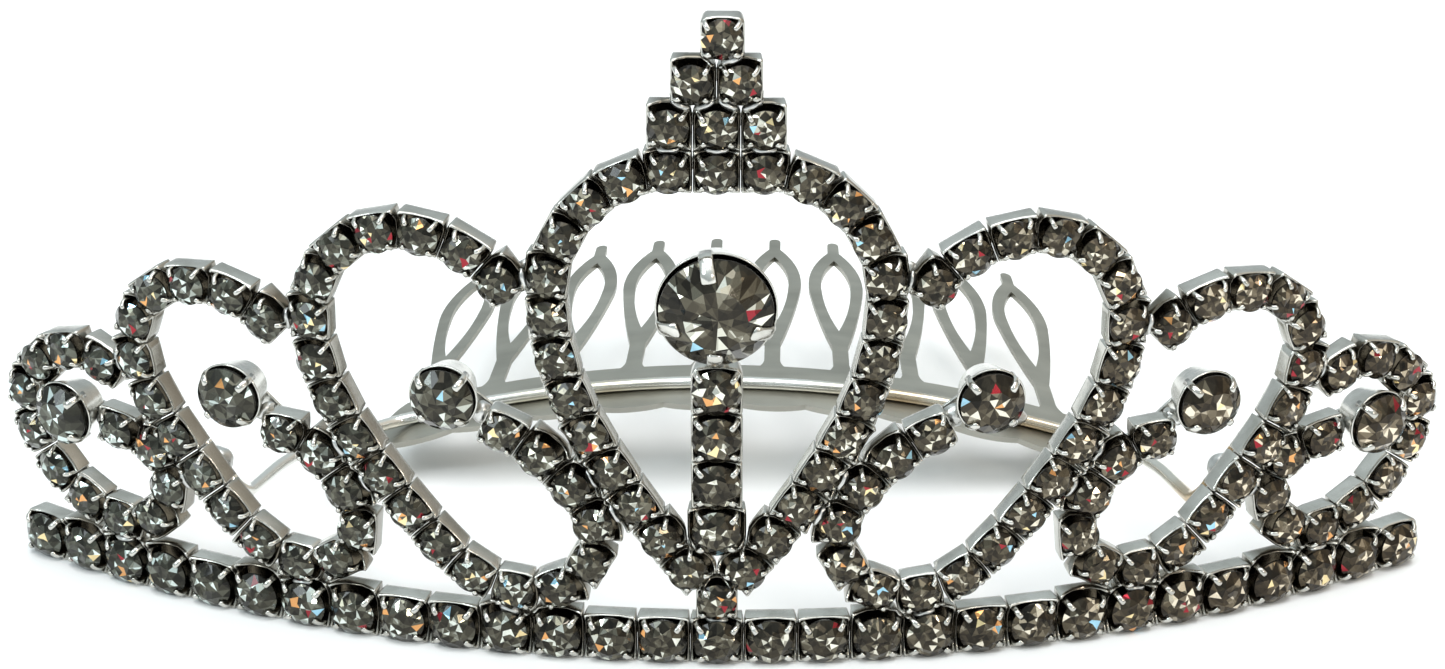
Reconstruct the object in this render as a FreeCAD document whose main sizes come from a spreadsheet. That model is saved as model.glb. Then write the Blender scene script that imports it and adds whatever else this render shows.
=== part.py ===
"""Bridal tiara: an upright face of soldered cup chain, with a hair comb carried behind it on a wire.

The face stands on its base row, on a cylinder whose axis is vertical.  A place on the face is
given by u, the distance along the base row from its centre, and v, the height of a crystal's
centre above the crystals of the base row.  X runs to the right, Y to the back and Z up.  The
origin is on the underside of the middle cup of the base row.
"""
import FreeCAD, Part
import itertools
import math
import os

V = FreeCAD.Vector
doc = FreeCAD.newDocument("bridal_tiara")

# ---------------------------------------------------------------- driving dimensions

DIMENSIONS = (
    ("face_radius", 120.0, "plan radius of the upright face"),
    ("base_half_count", 14, "crystals of the base row on each side of the middle one"),
    ("large_pitch", 4.85, "spacing of the large cups in the base row"),
    ("large_cup", 4.6, "width of a large square cup, used in the base row and the stem"),
    ("large_stone", 4.2, "diameter of a large crystal"),
    ("small_pitch", 4.1, "spacing of the small chain, used in the loop, scrolls and finial"),
    ("small_cup", 3.75, "width of a small square cup"),
    ("small_stone", 3.5, "diameter of a small crystal"),
    ("cup_depth", 2.2, "height of a cup's walls, back face to rim"),
    ("cup_seat", 0.16, "height of a crystal's girdle above its cup's rim"),
    ("back_offset", 1.75, "distance of the cups' back faces behind the face"),
    ("wall", 0.35, "sheet thickness of a cup"),
    ("claw_width", 0.7, "width of a claw"),
    ("claw_length", 1.15, "length of a claw"),
    ("claw_lean", 36.0, "inward lean of a claw, degrees"),
    ("claw_inset", 0.31, "distance of a claw's root inside the cup's sharp corner"),
    ("claw_root", 0.25, "part of a claw that is in the wall of its cup"),
    ("corner", 0.5, "outer corner radius of a square cup"),
    ("centre_setting", 10.7, "diameter of the round setting on the stem"),
    ("centre_stone", 10.0, "diameter of the crystal on the stem"),
    ("scroll_setting", 6.3, "diameter of the round settings that end the scrolls"),
    ("scroll_stone", 5.8, "diameter of the crystals that end the scrolls"),
    ("setting_depth", 3.3, "height of a round setting's wall"),
    ("setting_taper", 0.28, "narrowing of a round setting's wall towards the back, mm per mm"),
    ("setting_seat", 0.3, "height of a crystal's girdle above its round setting's rim"),
    ("setting_claw_root", 0.1, "part of a claw that is in the wall of its round setting"),
    ("centre_claw_width", 1.4, "width of a claw of the centre setting"),
    ("centre_claw_length", 2.1, "length of a claw of the centre setting"),
    ("link_length", 2.4, "length of the strip that joins two cups"),
    ("link_width", 1.2, "width of the strip that joins two cups"),
    ("link_thick", 0.3, "thickness of the strip that joins two cups"),
    ("stem_pitch", 4.7, "spacing of the large cups in the stem"),
    ("finial_rise", 4.1, "height of one row of the finial"),
    ("finial_lean", 0.5, "distance of the finial's top cup to the right of the middle"),
    ("squeeze_gap", 0.08, "gap left between cups that are pressed together"),
    ("joint_reach", 4.65, "two cups of different chains closer than this are soldered"),
    ("joint_radius", 0.8, "radius of a solder joint between chains"),
    ("comb_pitch", 7.0, "spacing of the comb's teeth"),
    ("comb_teeth", 10, "number of teeth"),
    ("comb_sheet", 0.6, "thickness of the comb's sheet"),
    ("comb_arch", 111.0, "radius of the comb's arch across its width"),
    ("comb_tilt", 3.3, "rise of the comb towards its tips, degrees"),
    ("comb_turn", -1.4, "turn of the comb about the vertical, degrees"),
    ("comb_shift", 1.25, "distance of the comb's middle to the right of the face's middle"),
    ("comb_reach", 36.0, "distance of the comb's crest, under the wire, behind the face"),
    ("comb_height", 9.5, "height of the comb's crest"),
    ("spine_front", 3.4, "comb sheet in front of the wire"),
    ("spine_back", 4.5, "comb sheet behind the wire, up to the teeth"),
    ("scallop", 0.7, "depth of the scallops along the spine's front edge"),
    ("tooth_length", 27.0, "length of a tooth behind the spine"),
    ("stem_width", 1.6, "width of a tooth where it leaves the spine"),
    ("leaf_width", 5.6, "width of a tooth's leaf-shaped loop"),
    ("strand_width", 1.3, "width of the strip round a tooth's loop"),
    ("tooth_fan", 8.0, "inward lean of the outermost teeth, degrees"),
    ("wire_diameter", 1.2, "diameter of the wire"),
)

sheet = doc.addObject("Spreadsheet::Sheet", "dimensions")
for row, (alias, value, note) in enumerate(DIMENSIONS, start=1):
    sheet.set(f"A{row}", alias)
    sheet.set(f"B{row}", str(value))
    sheet.set(f"C{row}", note)
    sheet.setAlias(f"B{row}", alias)
doc.recompute()


def dim(alias):
    """The value of one driving dimension."""
    return sheet.get(alias)


# ---------------------------------------------------------------- places on the face

FACE_R = dim("face_radius")
STONE_LEVEL = dim("large_cup") / 2


def on_face(u, v, turn=0.0):
    """Placement on the face at (u, v): local X is along a chain that climbs at turn degrees,
    local Z points out of the front, and the local origin is on the cups' back faces."""
    angle = u / FACE_R
    inward = V(-math.sin(angle), math.cos(angle), 0)
    along = V(math.cos(angle), math.sin(angle), 0)
    up = V(0, 0, 1)
    point = V(FACE_R * math.sin(angle), FACE_R * (1 - math.cos(angle)), v + STONE_LEVEL)
    point = point + inward * dim("back_offset")
    cosine, sine = math.cos(math.radians(turn)), math.sin(math.radians(turn))
    x_axis = along * cosine + up * sine
    z_axis = inward * -1
    return FreeCAD.Placement(point, FreeCAD.Rotation(x_axis, V(), z_axis, "ZXY"))


def mirrored(places):
    """The same places on the other half of the face."""
    return [(-u, v, 180 - turn) for u, v, turn in places]


def flipped(points):
    """The same points on the left side."""
    return [V(-point.x, point.y, point.z) for point in points]


def along_route(points, count):
    """(u, v, turn) of cups spaced evenly along a smooth route through the points."""
    curve = Part.BSplineCurve()
    curve.interpolate([V(u, v, 0) for u, v in points])
    places = []
    for point in curve.discretize(Number=count):
        tangent = curve.tangent(curve.parameter(point))[0]
        places.append((point.x, point.y, math.degrees(math.atan2(tangent.y, tangent.x))))
    return places


# ---------------------------------------------------------------- routes of the chains

# Right half of the centre loop, from its lowest cup to the first cup of its flat top.
LOOP_ROUTE = ((0, 4.2), (4.8, 10.2), (9.0, 16.6), (12.6, 23.4), (14.5, 30.0), (14.5, 36.6),
              (11.5, 42.5), (4.1, 46.2))
LOOP_COUNT = 14

# Right-hand scrolls: each starts against its inner neighbour, goes over the top and down the
# outer side, turns on the base row and climbs back inwards to a round crystal.
SCROLLS = {
    "inner": {
        "route": ((19.1, 35.0), (24.4, 38.6), (31.0, 38.4), (36.0, 33.2), (36.1, 25.0),
                  (32.1, 17.0), (26.6, 9.8), (20.4, 4.8), (14.2, 5.0), (10.9, 9.4),
                  (13.5, 15.8), (19.2, 20.4)),
        "count": 21,
        "crystal": (24.0, 24.0),
    },
    "middle": {
        "route": ((41.1, 28.6), (46.8, 30.8), (52.6, 29.2), (55.3, 24.0), (53.2, 17.4),
                  (48.8, 11.5), (43.6, 6.0), (37.9, 4.3), (33.5, 7.2), (34.6, 13.4),
                  (40.2, 17.4)),
        "count": 17,
        "crystal": (44.5, 21.0),
    },
    "outer": {
        "route": ((59.3, 20.6), (65.2, 20.0), (68.9, 15.2), (66.8, 9.2), (61.4, 5.2),
                  (55.6, 4.9), (52.6, 9.0), (57.9, 14.0)),
        "count": 12,
        "crystal": (63.1, 14.9),
    },
}

LARGE = dim("large_pitch")
SMALL = dim("small_pitch")
STEM_START = 11.3
STEM_COUNT = 4
CENTRE_CRYSTAL_HEIGHT = 34.0

half = dim("base_half_count")
base_places = [(LARGE * i, 0.0, 0.0) for i in range(-half, half + 1)]

loop_right = along_route(LOOP_ROUTE, LOOP_COUNT)
loop_right[0] = (0.0, loop_right[0][1], 0.0)
loop_right[-1] = (SMALL, loop_right[-1][1], 180.0)
loop_top = (0.0, loop_right[-1][1], 180.0)
loop_places = loop_right + [loop_top] + mirrored(loop_right[1:])[::-1]

stem_places = [(0.0, STEM_START + i * dim("stem_pitch"), 90.0) for i in range(STEM_COUNT)]
centre_crystal_place = (0.0, CENTRE_CRYSTAL_HEIGHT, 0.0)

FINIAL_ROWS = (3, 2, 1)
finial_rows = []
for level, count in enumerate(FINIAL_ROWS, start=1):
    height = loop_top[1] + level * dim("finial_rise")
    lean = dim("finial_lean") if count == 1 else 0.0
    finial_rows.append([(SMALL * (i - (count - 1) / 2) + lean, height, 0.0) for i in range(count)])
finial_places = [place for places in finial_rows for place in places]


# ---------------------------------------------------------------- crystals

def ring(radius, height, sides, offset=0.0):
    """Corners of a regular polygon."""
    step = 2 * math.pi / sides
    return [V(radius * math.cos(step * (i + offset)), radius * math.sin(step * (i + offset)), height)
            for i in range(sides)]


# Proportions of a crystal, as parts of its diameter.
TABLE_WIDTH = 0.56
CROWN_HEIGHT = 0.17
GIRDLE_HEIGHT = 0.05
PAVILION_DEPTH = 0.38


def faceted_crystal(diameter, level, sides):
    """A brilliant with its girdle at a level: flat table, crown facets, pointed pavilion."""
    radius = diameter / 2
    girdle_top = level + GIRDLE_HEIGHT * diameter
    table = ring(TABLE_WIDTH * radius, girdle_top + CROWN_HEIGHT * diameter, sides)
    upper = ring(radius, girdle_top, sides, 0.5)
    lower = ring(radius, level, sides, 0.5)
    culet = V(0, 0, level - PAVILION_DEPTH * diameter)
    facets = [table]
    for i in range(sides):
        j = (i + 1) % sides
        facets.append([table[i], upper[i], table[j]])
        facets.append([upper[i], upper[j], table[j]])
        facets.append([upper[i], lower[i], lower[j], upper[j]])
        facets.append([lower[i], culet, lower[j]])
    faces = [Part.Face(Part.makePolygon(corners + [corners[0]])) for corners in facets]
    return Part.Solid(Part.Shell(faces))


def crystal_pattern(name, diameter_alias, level, sides):
    """The crystal of one size, as an object that its cup or setting is cut to."""
    crystal = doc.addObject("Part::Feature", name)
    crystal.Shape = faceted_crystal(dim(diameter_alias), level, sides)
    return crystal


CUP_GIRDLE = dim("cup_depth") + dim("cup_seat")
SETTING_GIRDLE = dim("setting_depth") + dim("setting_seat")
large_crystal = crystal_pattern("large_crystal_pattern", "large_stone", CUP_GIRDLE, 8)
small_crystal = crystal_pattern("small_crystal_pattern", "small_stone", CUP_GIRDLE, 8)
centre_crystal = crystal_pattern("centre_crystal_pattern", "centre_stone", SETTING_GIRDLE, 16)
scroll_crystal = crystal_pattern("scroll_crystal_pattern", "scroll_stone", SETTING_GIRDLE, 12)


# ---------------------------------------------------------------- square cups

def pressed_onto(metal, crystal, name):
    """Metal that is pressed onto its crystal, so that the crystal's shape is taken out of it."""
    pressed = doc.addObject("Part::Cut", name)
    pressed.Base = metal
    pressed.Tool = crystal
    return pressed


def square_cup(name, width_alias, crystal):
    """A square cup of folded sheet: four walls, a back, and a claw leaning in at each corner."""
    width = f"dimensions.{width_alias}"

    block = doc.addObject("Part::Box", name + "_block")
    block.setExpression("Length", width)
    block.setExpression("Width", width)
    block.setExpression("Height", "dimensions.cup_depth")
    block.setExpression("Placement.Base.x", f"-{width} / 2")
    block.setExpression("Placement.Base.y", f"-{width} / 2")
    doc.recompute()

    rounded = doc.addObject("Part::Fillet", name + "_rounded")
    rounded.Base = block
    upright = [i for i, edge in enumerate(block.Shape.Edges, start=1)
               if abs(edge.tangentAt(edge.FirstParameter).z) > 0.99]
    rounded.Edges = [(i, dim("corner"), dim("corner")) for i in upright]

    hollow = doc.addObject("Part::Box", name + "_hollow")
    hollow.setExpression("Length", f"{width} - 2 * dimensions.wall")
    hollow.setExpression("Width", f"{width} - 2 * dimensions.wall")
    hollow.setExpression("Height", "dimensions.cup_depth")
    hollow.setExpression("Placement.Base.x", f"-{width} / 2 + dimensions.wall")
    hollow.setExpression("Placement.Base.y", f"-{width} / 2 + dimensions.wall")
    hollow.setExpression("Placement.Base.z", "dimensions.wall")

    shell = doc.addObject("Part::Cut", name + "_shell")
    shell.Base = rounded
    shell.Tool = hollow

    claws = []
    for quarter in range(4):
        claw = doc.addObject("Part::Box", f"{name}_claw_{quarter}")
        claw.setExpression("Length", "dimensions.wall")
        claw.setExpression("Width", "dimensions.claw_width")
        claw.setExpression("Height", "dimensions.claw_length")
        bearing = math.radians(45 + 90 * quarter)
        root = dim(width_alias) / math.sqrt(2) - dim("claw_inset")
        turn = FreeCAD.Rotation(V(0, 0, 1), 45 + 90 * quarter)
        lean = FreeCAD.Rotation(V(0, 1, 0), -dim("claw_lean"))
        rotation = turn.multiply(lean)
        level = dim("cup_depth") - dim("claw_root")
        foot = V(root * math.cos(bearing), root * math.sin(bearing), level)
        inner_corner = rotation.multVec(V(dim("wall"), dim("claw_width") / 2, 0))
        claw.Placement = FreeCAD.Placement(foot - inner_corner, rotation)
        claws.append(claw)

    cup = doc.addObject("Part::MultiFuse", name + "_open")
    cup.Shapes = [shell] + claws
    return pressed_onto(cup, crystal, name)


large_cup = square_cup("large_cup_pattern", "large_cup", large_crystal)
small_cup = square_cup("small_cup_pattern", "small_cup", small_crystal)


# ---------------------------------------------------------------- round settings

def round_setting(name, diameter_alias, stone_alias, claw_aliases, bearings, crystal):
    """A round cup that narrows to the back, with a floor, and claws over its crystal."""
    claw_width, claw_length = claw_aliases
    narrowing = "dimensions.setting_taper * dimensions.setting_depth"
    outer = doc.addObject("Part::Cone", name + "_outer")
    outer.setExpression("Radius1", f"dimensions.{diameter_alias} / 2 - {narrowing}")
    outer.setExpression("Radius2", f"dimensions.{diameter_alias} / 2")
    outer.setExpression("Height", "dimensions.setting_depth")

    hollow = doc.addObject("Part::Cone", name + "_hollow")
    hollow.setExpression(
        "Radius1", f"dimensions.{diameter_alias} / 2 - {narrowing} - 2 * dimensions.wall")
    hollow.setExpression("Radius2", f"dimensions.{stone_alias} / 2 - dimensions.wall")
    hollow.setExpression("Height", "dimensions.setting_depth - dimensions.wall")
    hollow.setExpression("Placement.Base.z", "dimensions.wall")

    shell = doc.addObject("Part::Cut", name + "_shell")
    shell.Base = outer
    shell.Tool = hollow

    claws = []
    for index, bearing in enumerate(bearings):
        claw = doc.addObject("Part::Box", f"{name}_claw_{index}")
        claw.setExpression("Length", "dimensions.wall")
        claw.setExpression("Width", f"dimensions.{claw_width}")
        claw.setExpression("Height", f"dimensions.{claw_length}")
        turn = FreeCAD.Rotation(V(0, 0, 1), bearing)
        rotation = turn.multiply(FreeCAD.Rotation(V(0, 1, 0), -dim("claw_lean") / 2))
        rim = dim(diameter_alias) / 2
        level = dim("setting_depth") - dim("setting_claw_root")
        angle = math.radians(bearing)
        foot = V(rim * math.cos(angle), rim * math.sin(angle), level)
        outer_corner = rotation.multVec(V(dim("wall"), dim(claw_width) / 2, 0))
        claw.Placement = FreeCAD.Placement(foot - outer_corner, rotation)
        claws.append(claw)

    setting = doc.addObject("Part::MultiFuse", name + "_open")
    setting.Shapes = [shell] + claws
    return pressed_onto(setting, crystal, name)


CENTRE_CLAW_BEARINGS = (100, 195, 270, 340)
SCROLL_CLAW_BEARINGS = (45, 135, 225, 315)
centre_setting = round_setting("centre_setting_pattern", "centre_setting", "centre_stone",
                               ("centre_claw_width", "centre_claw_length"),
                               CENTRE_CLAW_BEARINGS, centre_crystal)
scroll_setting = round_setting("scroll_setting_pattern", "scroll_setting", "scroll_stone",
                               ("claw_width", "claw_length"),
                               SCROLL_CLAW_BEARINGS, scroll_crystal)
doc.recompute()


# ---------------------------------------------------------------- sub-parts of the face

sub_parts = []


def add_sub_part(label, solids):
    """One sub-part: a solid, or separate identical pieces kept together."""
    part = doc.addObject("Part::Feature", label)
    part.Label = label
    part.Shape = solids[0] if len(solids) == 1 else Part.makeCompound(solids)
    sub_parts.append(part)
    return part


def copies(shape, places):
    """Copies of a shape at places on the face."""
    placed = []
    for place in places:
        copy = shape.copy()
        copy.Placement = on_face(*place)
        placed.append(copy)
    return placed


def distance(first, second):
    """Distance between two places on the face."""
    return math.hypot(second[0] - first[0], second[1] - first[1])


def squeezed(cup, place, width, neighbours):
    """A cup at its place, flattened where it is pressed against cups too close to clear it."""
    solid = cup.copy()
    block = 2 * width
    for other, other_width in neighbours:
        gap = distance(place, other)
        if gap < 1e-6 or gap > (width + other_width) / 2 * math.sqrt(2):
            continue
        share = gap * width / (width + other_width) - dim("squeeze_gap") / 2
        bearing = math.degrees(math.atan2(other[1] - place[1], other[0] - place[0])) - place[2]
        beyond = Part.makeBox(block, 2 * block, 2 * block, V(share, -block, -block))
        beyond.Placement = FreeCAD.Placement(V(), FreeCAD.Rotation(V(0, 0, 1), bearing))
        solid = solid.cut(beyond)
    solid = solid.Solids[0]
    solid.Placement = on_face(*place).multiply(solid.Placement)
    return solid


chains = {
    "base_row": (base_places, "large_cup"),
    "centre_loop": (loop_places, "small_cup"),
    "centre_stem": (stem_places, "large_cup"),
    "finial": (finial_places, "small_cup"),
}
end_places = {}
for name, scroll in SCROLLS.items():
    right = along_route(scroll["route"], scroll["count"])
    right_end = [(*scroll["crystal"], 0.0)]
    chains[f"right_{name}_scroll"] = (right, "small_cup")
    chains[f"left_{name}_scroll"] = (mirrored(right), "small_cup")
    end_places[f"right_{name}_scroll"] = right_end
    end_places[f"left_{name}_scroll"] = mirrored(right_end)

patterns = {"large_cup": (large_cup, large_crystal), "small_cup": (small_cup, small_crystal)}
every_cup = [(place, dim(size)) for places, size in chains.values() for place in places]
for label, (places, size) in chains.items():
    cup, crystal = patterns[size]
    cups = [squeezed(cup.Shape, place, dim(size), every_cup) for place in places]
    add_sub_part(label + "_cups", cups)
    add_sub_part(label + "_crystals", copies(crystal.Shape, places))

for label, places in end_places.items():
    add_sub_part(label + "_end_setting", copies(scroll_setting.Shape, places))
    add_sub_part(label + "_end_crystal", copies(scroll_crystal.Shape, places))
add_sub_part("centre_crystal_setting", copies(centre_setting.Shape, [centre_crystal_place]))
add_sub_part("centre_crystal", copies(centre_crystal.Shape, [centre_crystal_place]))


# ---------------------------------------------------------------- links and solder

def between(first, second, share=0.5):
    """The place part of the way between two places, with local X along the line through them."""
    rise = second[1] - first[1]
    run = second[0] - first[0]
    turn = math.degrees(math.atan2(rise, run))
    return (first[0] + run * share, first[1] + rise * share, turn)


def in_gap(cup_place, cup_width, setting_place, setting_width):
    """The middle of the gap between the back edge of a cup and the foot of a round setting."""
    reach = distance(cup_place, setting_place)
    foot = setting_width / 2 - dim("setting_taper") * dim("setting_depth")
    middle = (reach + cup_width / 2 - foot) / 2
    return between(cup_place, setting_place, middle / reach)


settings = [(chains[label][0][-1], dim("small_cup"), places[0], dim("scroll_setting"))
            for label, places in end_places.items()]
settings.append((stem_places[-1], dim("large_cup"), centre_crystal_place, dim("centre_setting")))
setting_gaps = [in_gap(*setting) for setting in settings]

link_shape = Part.makeBox(dim("link_length"), dim("link_width"), dim("link_thick"),
                          V(-dim("link_length") / 2, -dim("link_width") / 2, -dim("link_thick")))
runs = [places for label, (places, size) in chains.items() if label != "finial"] + finial_rows
linked = [pair for run in runs for pair in zip(run, run[1:])]
linked.append((loop_places[-1], loop_places[0]))
link_places = [between(*pair) for pair in linked] + setting_gaps
links = add_sub_part("chain_links", copies(link_shape, link_places))

joint_shape = Part.makeSphere(dim("joint_radius"), V(), V(0, 0, -1), 0, 90, 360)
joints = []
for run, other_run in itertools.combinations(runs, 2):
    joints += [between(first, second) for first in run for second in other_run
               if distance(first, second) < dim("joint_reach")]
add_sub_part("solder_joints", copies(joint_shape, joints))


# ---------------------------------------------------------------- comb

def comb_spine():
    """Flat outline of the spine: a straight back edge, round ends and a scalloped front edge."""
    pitch = dim("comb_pitch")
    count = dim("comb_teeth")
    right = pitch * count / 2
    front = -dim("spine_front") + dim("scallop")
    edges = []
    for index in range(count):
        start = V(-right + pitch * index, front, 0)
        middle = V(-right + pitch * (index + 0.5), -dim("spine_front"), 0)
        end = V(-right + pitch * (index + 1), front, 0)
        edges.append(Part.Arc(start, middle, end).toShape())
    back = dim("spine_back")
    right_end = (V(right, front, 0), V(right - 0.3, back - 1.5, 0), V(right - 1.6, back, 0))
    left_end = flipped(right_end)[::-1]
    edges.append(Part.Arc(*right_end).toShape())
    edges.append(Part.LineSegment(right_end[-1], left_end[0]).toShape())
    edges.append(Part.Arc(*left_end).toShape())
    return Part.Face(Part.Wire(edges))


def comb_tooth():
    """Flat outline of one tooth: a stem that opens into an egg-shaped loop with a blunt tip."""
    length = dim("tooth_length")
    stem = dim("stem_width") / 2
    leaf = dim("leaf_width") / 2
    inner = leaf - dim("strand_width")
    tip = 0.6
    flare = 0.9
    foot, root, neck, crotch, widest, crown, shoulder = (
        share * length for share in (-0.02, 0.055, 0.18, 0.3, 0.61, 0.855, 0.915))
    right = [V(stem + flare, foot, 0), V(stem + 0.25 * flare, 0.2 * root, 0),
             V(stem, root, 0), V(stem, neck, 0), V(0.72 * leaf, 0.4 * length, 0),
             V(leaf, widest, 0), V(0.8 * leaf, 0.79 * length, 0), V(tip, shoulder, 0),
             V(tip, length - tip, 0)]
    left = flipped(right)
    outline = [
        Part.LineSegment(left[0], right[0]).toShape(),
        Part.Arc(right[0], right[1], right[2]).toShape(),
        Part.LineSegment(right[2], right[3]).toShape(),
        Part.Arc(right[3], right[4], right[5]).toShape(),
        Part.Arc(right[5], right[6], right[7]).toShape(),
        Part.LineSegment(right[7], right[8]).toShape(),
        Part.Arc(right[8], V(0, length, 0), left[8]).toShape(),
        Part.LineSegment(left[8], left[7]).toShape(),
        Part.Arc(left[7], left[6], left[5]).toShape(),
        Part.Arc(left[5], left[4], left[3]).toShape(),
        Part.LineSegment(left[3], left[2]).toShape(),
        Part.Arc(left[2], left[1], left[0]).toShape(),
    ]
    bottom = V(0, crotch, 0)
    top = V(0, crown, 0)
    hole_right = [V(0.7 * inner, 0.45 * length, 0), V(inner, widest, 0),
                  V(0.68 * inner, 0.77 * length, 0)]
    hole_left = flipped(hole_right)
    hole = [
        Part.Arc(bottom, hole_right[0], hole_right[1]).toShape(),
        Part.Arc(hole_right[1], hole_right[2], top).toShape(),
        Part.Arc(top, hole_left[2], hole_left[1]).toShape(),
        Part.Arc(hole_left[1], hole_left[0], bottom).toShape(),
    ]
    return Part.Face(Part.Wire(outline)).cut(Part.Face(Part.Wire(hole)))


BLANK_HEIGHT = 12.0
BLANK_TOP = 0.5
spine_blank = comb_spine().extrude(V(0, 0, BLANK_HEIGHT))
tooth_blank = comb_tooth().extrude(V(0, 0, BLANK_HEIGHT))
last_step = (dim("comb_teeth") - 1) / 2
teeth = []
for index in range(dim("comb_teeth")):
    step = index - last_step
    fan = dim("tooth_fan") * step / last_step
    tooth = tooth_blank.copy()
    tooth.Placement = FreeCAD.Placement(V(step * dim("comb_pitch"), dim("spine_back"), 0),
                                        FreeCAD.Rotation(V(0, 0, 1), fan))
    teeth.append(tooth)
blank = doc.addObject("Part::Feature", "comb_blank")
blank.Shape = spine_blank.fuse(teeth)
blank.Placement = FreeCAD.Placement(V(0, 0, BLANK_TOP - BLANK_HEIGHT), FreeCAD.Rotation())

arch_outer = doc.addObject("Part::Cylinder", "comb_arch_outer")
arch_outer.setExpression("Radius", "dimensions.comb_arch")
arch_inner = doc.addObject("Part::Cylinder", "comb_arch_inner")
arch_inner.setExpression("Radius", "dimensions.comb_arch - dimensions.comb_sheet")
ARCH_LENGTH = 100
ARCH_BACK = 60
for cylinder in (arch_outer, arch_inner):
    cylinder.Height = ARCH_LENGTH
    cylinder.Placement = FreeCAD.Placement(V(0, ARCH_BACK, -dim("comb_arch")),
                                           FreeCAD.Rotation(V(1, 0, 0), 90))
arch = doc.addObject("Part::Cut", "comb_arch_sheet")
arch.Base = arch_outer
arch.Tool = arch_inner

comb = doc.addObject("Part::Common", "comb_plate")
comb.Base = blank
comb.Tool = arch
comb.Label = "comb_plate"
comb_frame = FreeCAD.Placement(
    V(dim("comb_shift"), dim("comb_reach"), dim("comb_height")),
    FreeCAD.Rotation(V(0, 0, 1), dim("comb_turn")).multiply(
        FreeCAD.Rotation(V(1, 0, 0), dim("comb_tilt"))))
comb.Placement = comb_frame
sub_parts.append(comb)


# ---------------------------------------------------------------- wire

def behind_strand(u, v):
    """Centre of the wire where it lies on the links behind the face."""
    depth = dim("link_thick") + dim("wire_diameter") / 2
    return on_face(u, v).multVec(V(0, 0, -depth))


def bow(x):
    """Centre and direction of the wire over the comb's crest, x from the comb's middle."""
    radius = dim("comb_arch") + dim("wire_diameter") / 2
    height = math.sqrt(radius ** 2 - x ** 2)
    centre = comb_frame.multVec(V(x, 0, height - dim("comb_arch")))
    along = comb_frame.Rotation.multVec(V(height / radius, 0, -x / radius))
    return centre, along


def rounded_path(points):
    """Edges of straight runs through the points, joined by arcs as large as the runs allow."""
    edges = []
    cursor = points[0]
    for before, corner, after in zip(points, points[1:], points[2:]):
        back = (before - corner).normalize()
        ahead = (after - corner).normalize()
        trim = 0.45 * min(before.distanceToPoint(corner), after.distanceToPoint(corner))
        half_turn = (math.pi - back.getAngle(ahead)) / 2
        radius = trim / math.tan(half_turn)
        start = corner + back * trim
        end = corner + ahead * trim
        bisector = (back + ahead).normalize()
        middle = corner + bisector * (radius / math.cos(half_turn) - radius)
        edges.append(Part.LineSegment(cursor, start).toShape())
        edges.append(Part.Arc(start, middle, end).toShape())
        cursor = end
    edges.append(Part.LineSegment(cursor, points[-1]).toShape())
    return edges


# Each foot of the wire runs up the descending side of a middle scroll, behind two of its cups.
middle_scroll = chains["right_middle_scroll"][0]
FOOT_CUPS = (9, 8, 7)
lower_cup, soldered_cup, upper_cup = (middle_scroll[index] for index in FOOT_CUPS)
foot_end = ((soldered_cup[0] + upper_cup[0]) / 2, (soldered_cup[1] + upper_cup[1]) / 2)
foot = [behind_strand(*place[:2]) for place in (lower_cup, soldered_cup, foot_end)]
LEG = [V(41.2, 25.0, 7.9)]
BOW_HALF = 30.0
BOW_OVERHANG = 4.0
right_leg = LEG + foot
left_leg = flipped(right_leg)
left_end, left_along = bow(-BOW_HALF)
right_end, right_along = bow(BOW_HALF)
bow_arc = Part.Arc(left_end, bow(0)[0], right_end).toShape()
left_side = rounded_path(left_leg[::-1] + [left_end - left_along * BOW_OVERHANG, left_end])
right_side = rounded_path([right_end, right_end + right_along * BOW_OVERHANG] + right_leg)
path = doc.addObject("Part::Feature", "wire_path")
path.Shape = Part.Wire(left_side + [bow_arc] + right_side)

section = doc.addObject("Part::Circle", "wire_section")
section.setExpression("Radius", "dimensions.wire_diameter / 2")
section.Placement = FreeCAD.Placement(
    left_leg[-1], FreeCAD.Rotation(V(0, 0, 1), left_leg[-2] - left_leg[-1]))

wire = doc.addObject("Part::Sweep", "comb_wire")
wire.Label = "comb_wire"
wire.Sections = [section]
wire.Spine = (path, [])
wire.Solid = True
wire.Frenet = False
sub_parts.append(wire)
doc.recompute()

length = path.Shape.Length
expected = math.pi * (dim("wire_diameter") / 2) ** 2 * length
print(f"wire length {length:.1f}, volume {wire.Shape.Volume:.1f}, section x length {expected:.1f}")


# ---------------------------------------------------------------- solder on the wire

FOOT_SOLDER_RADIUS = 1.15
FOOT_SOLDER_LENGTH = 1.5
COMB_SOLDER_RADII = (2.2, 1.2, 0.95)
COMB_SOLDER_AT = 27.0


def foot_solder(place):
    """A bead round the wire's foot, flat against the back of one cup and clear of the links."""
    cup = on_face(*place)
    centre = behind_strand(place[0], place[1])
    along = cup.Rotation.multVec(V(1, 0, 0))
    start = centre - along * (FOOT_SOLDER_LENGTH / 2)
    bead = Part.makeCylinder(FOOT_SOLDER_RADIUS, FOOT_SOLDER_LENGTH, start, along)
    block = 4 * FOOT_SOLDER_LENGTH
    in_cup = Part.makeBox(block, block, block, V(-block / 2, -block / 2, 0))
    in_cup.Placement = cup
    return bead.cut([wire.Shape, in_cup]).Solids[0]


def comb_solder(x):
    """A low bead of solder over the wire, where it lies on the comb."""
    centre, along = bow(x)
    stretch = FreeCAD.Matrix()
    stretch.scale(*COMB_SOLDER_RADII)
    bead = Part.makeSphere(1.0).transformGeometry(stretch)
    bead.Placement = FreeCAD.Placement(centre, FreeCAD.Rotation(V(1, 0, 0), along))
    pieces = bead.cut([wire.Shape, comb.Shape]).Solids
    return max(pieces, key=lambda piece: piece.Volume)


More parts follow.
